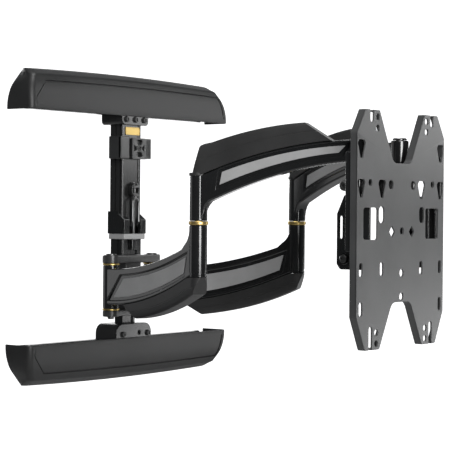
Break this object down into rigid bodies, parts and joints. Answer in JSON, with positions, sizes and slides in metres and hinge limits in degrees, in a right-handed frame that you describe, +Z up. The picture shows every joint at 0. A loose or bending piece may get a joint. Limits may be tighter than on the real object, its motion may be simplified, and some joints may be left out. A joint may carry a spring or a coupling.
{
  "type": "full motion television wall mount",
  "caption": "Full motion TV wall mount: wall rail with covers, carriage, two folding twin arms, yoke head and tilting VESA screen plate",
  "frame": {"origin": "centre of the wall face, where the wall plates touch the wall", "axes": "+X right along the wall as seen from the room, +Y into the wall, +Z up; the room is at -Y"},
  "size_m": [0.449, 0.4991, 0.449],
  "materials": {
    "gloss_black": "gloss powder coat",
    "satin_grey": "satin paint on the arm inlays",
    "plate_grey": "dark satin powder coat",
    "rail_black": "satin black on the rail extrusion",
    "cover_plastic": "matte charcoal moulding",
    "cable_plastic": "matte near-black moulding",
    "clip_plastic": "grey moulding",
    "brass": "polished washers and blank badge",
    "steel": "plain steel pins, screws and rivets",
    "dark_steel": "black fasteners",
    "knob_black": "black knobs"
  },
  "bodies": {
    "wall": {"wall_plate_top": "rail_black", "wall_plate_bottom": "rail_black", "top_cover": "cover_plastic", "bottom_cover": "cover_plastic", "rail_bracket_top": "gloss_black", "rail_bracket_bottom": "gloss_black", "rail_bolts": "dark_steel", "wall_rail": "rail_black", "rail_column": "rail_black", "rail_clamp": "gloss_black", "cable_clip": "clip_plastic", "clip_screw": "steel", "blank_badge": "brass", "lift_screw": "steel", "lift_stirrup": "steel", "lift_bracket": "gloss_black"},
    "carriage": {"carriage_sleeve": "gloss_black", "sleeve_band": "satin_grey", "carriage_tube": "gloss_black", "pivot_bracket": "gloss_black", "wall_pin_left": "steel", "wall_pin_right": "steel", "wall_washers": "brass"},
    "lower_left": {"lower_arm_left": "gloss_black", "lower_inlays_left": "satin_grey", "lower_cable_cover_left": "cable_plastic", "elbow_pin_left": "steel", "elbow_washer_left": "brass"},
    "lower_right": {"lower_arm_right": "gloss_black", "lower_inlays_right": "satin_grey", "lower_cable_cover_right": "cable_plastic", "elbow_pin_right": "steel", "elbow_washer_right": "brass"},
    "upper_left": {"upper_arm_left": "gloss_black", "upper_inlays_left": "satin_grey", "upper_cable_cover_left": "cable_plastic"},
    "upper_right": {"upper_arm_right": "gloss_black", "upper_inlays_right": "satin_grey", "upper_cable_cover_right": "cable_plastic"},
    "head": {"head_yoke": "gloss_black", "head_pin_left": "gloss_black", "head_pin_right": "gloss_black", "head_washers": "brass", "tilt_pins": "steel"},
    "knob_left": {"tension_knob_left": "knob_black"},
    "knob_right": {"tension_knob_right": "knob_black"},
    "screen": {"tilt_bracket_left": "gloss_black", "tilt_bracket_right": "gloss_black", "tilt_bolts": "dark_steel", "screen_plate": "plate_grey", "plate_channel_left": "gloss_black", "plate_channel_right": "gloss_black", "plate_rivets": "steel"}
  },
  "joints": [
    {"name": "height_slide", "type": "slide", "parent": "wall", "child": "carriage", "axis": [0, 0, 1], "range_m": [-0.006, 0.01]},
    {"name": "fold", "type": "hinge", "parent": "carriage", "child": "lower_left", "pos_m": [-0.046, -0.038, -0.087], "axis": [0, 0, -1], "range_deg": [-16.3, 65.7]},
    {"name": "elbow_left_turn", "type": "hinge", "parent": "lower_left", "child": "upper_left", "pos_m": [-0.11696, -0.25257, 0.04], "axis": [0, 0, -1], "range_deg": [-131.4, 32.6]},
    {"name": "head_turn", "type": "hinge", "parent": "upper_left", "child": "head", "pos_m": [-0.046, -0.46714, 0.104], "axis": [0, 0, -1], "range_deg": [-16.3, 65.7]},
    {"name": "right_arm_turn", "type": "hinge", "parent": "carriage", "child": "lower_right", "pos_m": [0.046, -0.038, -0.087], "axis": [0, 0, -1], "range_deg": [-65.7, 16.3]},
    {"name": "elbow_right_turn", "type": "hinge", "parent": "lower_right", "child": "upper_right", "pos_m": [0.11696, -0.25257, 0.04], "axis": [0, 0, -1], "range_deg": [-32.6, 131.4]},
    {"name": "tilt", "type": "hinge", "parent": "head", "child": "screen", "pos_m": [0, -0.46004, -0.036], "axis": [1, 0, 0], "range_deg": [-2, 15]},
    {"name": "knob_left_turn", "type": "hinge", "parent": "head", "child": "knob_left", "pos_m": [-0.079, -0.46014, 0.058], "axis": [-1, 0, 0], "range_deg": [0, 360]},
    {"name": "knob_right_turn", "type": "hinge", "parent": "head", "child": "knob_right", "pos_m": [0.079, -0.46014, 0.058], "axis": [1, 0, 0], "range_deg": [0, 360]}
  ],
  "couplings": [
    {"joint": "elbow_left_turn", "follows": "fold", "ratio": -2},
    {"joint": "head_turn", "follows": "fold", "ratio": 1},
    {"joint": "right_arm_turn", "follows": "fold", "ratio": -1},
    {"joint": "elbow_right_turn", "follows": "fold", "ratio": 2}
  ]
}
